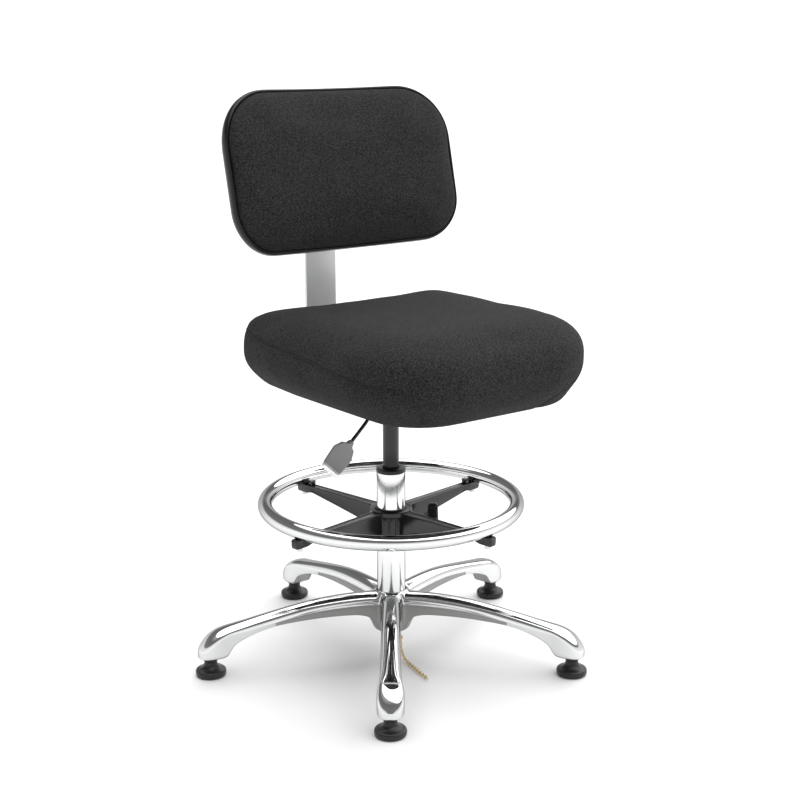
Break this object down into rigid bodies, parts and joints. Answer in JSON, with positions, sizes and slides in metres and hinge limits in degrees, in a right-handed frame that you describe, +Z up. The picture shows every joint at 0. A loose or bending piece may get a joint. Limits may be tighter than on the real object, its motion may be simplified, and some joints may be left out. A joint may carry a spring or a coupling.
{
  "type": "drafting chair",
  "caption": "Armless drafting chair: upholstered seat and back on a gas column with a height-adjustable chrome foot ring and a polished star base on fixed glides.",
  "frame": {"origin": "on the floor under the column's axis", "axes": "+Z up; the seat faces -Y; +X is the sitter's left"},
  "size_m": [0.6681, 0.6739, 0.9741],
  "materials": {
    "polished_aluminium": "mirror polished casting",
    "chrome": "bright chrome plate",
    "black_moulding": "fine satin moulded nylon",
    "gloss_trim": "glossy extruded edge trim",
    "black_steel": "black powder coat",
    "bright_steel": "zinc plated",
    "silver_paddle": "satin silver die casting",
    "rubber": "moulded buffer rubber",
    "plywood": "birch plywood",
    "black_fabric": "fine crepe-weave upholstery",
    "dust_cloth": "thin woven lining",
    "brass": "bright brass"
  },
  "bodies": {
    "base": {"base_casting": "polished_aluminium", "glide_1": "black_moulding", "glide_2": "black_moulding", "glide_3": "black_moulding", "glide_4": "black_moulding", "glide_5": "black_moulding", "glide_stems": "bright_steel", "column_sleeve": "chrome", "column_end_plate": "bright_steel", "column_bush": "black_moulding", "lower_race": "bright_steel", "chain_screw": "bright_steel", "chain_eyelet": "brass", "drag_chain": "brass"},
    "piston": {"piston_rod": "bright_steel", "piston_head": "bright_steel", "bump_stop": "rubber", "thrust_balls": "bright_steel", "upper_race": "bright_steel", "rod_clip": "bright_steel"},
    "seat": {"gas_cylinder": "black_steel", "cylinder_gland": "bright_steel", "taper_socket": "black_steel", "mechanism_housing": "black_steel", "lever_pin": "bright_steel", "seat_board": "plywood", "seat_cushion": "black_fabric", "seat_dust_cover": "dust_cloth", "seat_bolts": "bright_steel", "seat_tee_nuts": "bright_steel", "bar_guide": "black_steel"},
    "release_pin": {"release_pin": "bright_steel"},
    "lever": {"lever_rod": "black_steel", "lever_paddle": "silver_paddle"},
    "depth_clamp": {"depth_screw": "bright_steel", "depth_knob": "black_moulding"},
    "back_arm": {"back_bar": "chrome"},
    "back_carriage": {"bar_clamp": "black_steel", "back_pivot_pin": "bright_steel", "pivot_clips": "bright_steel"},
    "back_clamp": {"back_screw": "bright_steel", "back_knob": "black_moulding"},
    "backrest": {"back_board": "plywood", "back_cushion": "black_fabric", "back_trim": "gloss_trim", "back_shell": "black_moulding", "back_bracket": "black_steel", "back_bolts": "bright_steel"},
    "ring_slide": {"ring_liner": "black_moulding"},
    "foot_ring": {"ring_spider": "black_steel", "foot_ring": "chrome", "ring_bolts": "bright_steel"},
    "ring_clamp": {"ring_screw": "bright_steel", "ring_knob": "black_moulding"}
  },
  "joints": [
    {"name": "base_swivel", "type": "hinge", "parent": "base", "child": "piston", "pos_m": [0, 0, 0.0586], "axis": [0, 0, 1], "continuous": true},
    {"name": "seat_lift", "type": "slide", "parent": "piston", "child": "seat", "axis": [0, 0, 1], "range_m": [-0.025, 0.165]},
    {"name": "lever_pull", "type": "hinge", "parent": "seat", "child": "lever", "pos_m": [-0.025, 0, 0.477], "axis": [0, 1, 0], "range_deg": [0, 8], "stiffness_Nm_per_rad": 1.5},
    {"name": "release_press", "type": "slide", "parent": "seat", "child": "release_pin", "axis": [0, 0, 1], "range_m": [-0.0045, 0]},
    {"name": "back_depth", "type": "slide", "parent": "seat", "child": "back_arm", "axis": [0, 1, 0], "range_m": [-0.019, 0.025]},
    {"name": "back_height", "type": "slide", "parent": "back_arm", "child": "back_carriage", "axis": [0, 0, 1], "range_m": [-0.03, 0.045]},
    {"name": "back_tilt", "type": "hinge", "parent": "back_carriage", "child": "backrest", "pos_m": [0, 0.17743, 0.79198], "axis": [1, 0, 0], "range_deg": [-5, 10]},
    {"name": "back_knob_turn", "type": "hinge", "parent": "back_carriage", "child": "back_clamp", "pos_m": [0, 0.235, 0.806], "axis": [0, 1, 0], "range_deg": [0, 180]},
    {"name": "depth_knob_turn", "type": "hinge", "parent": "seat", "child": "depth_clamp", "pos_m": [0, 0.096, 0.45], "axis": [0, 0, -1], "range_deg": [0, 180]},
    {"name": "ring_height", "type": "slide", "parent": "base", "child": "ring_slide", "axis": [0, 0, 1], "range_m": [-0.085, 0.02]},
    {"name": "ring_turn", "type": "hinge", "parent": "ring_slide", "child": "foot_ring", "pos_m": [0, 0, 0.244], "axis": [0, 0, 1], "continuous": true},
    {"name": "ring_knob_turn", "type": "hinge", "parent": "foot_ring", "child": "ring_clamp", "pos_m": [0.04915, -0.03441, 0.244], "axis": [0.8191, -0.5736, 0], "range_deg": [0, 180]}
  ],
  "couplings": [
    {"joint": "release_press", "follows": "lever_pull", "m_per_rad": -0.031}
  ]
}
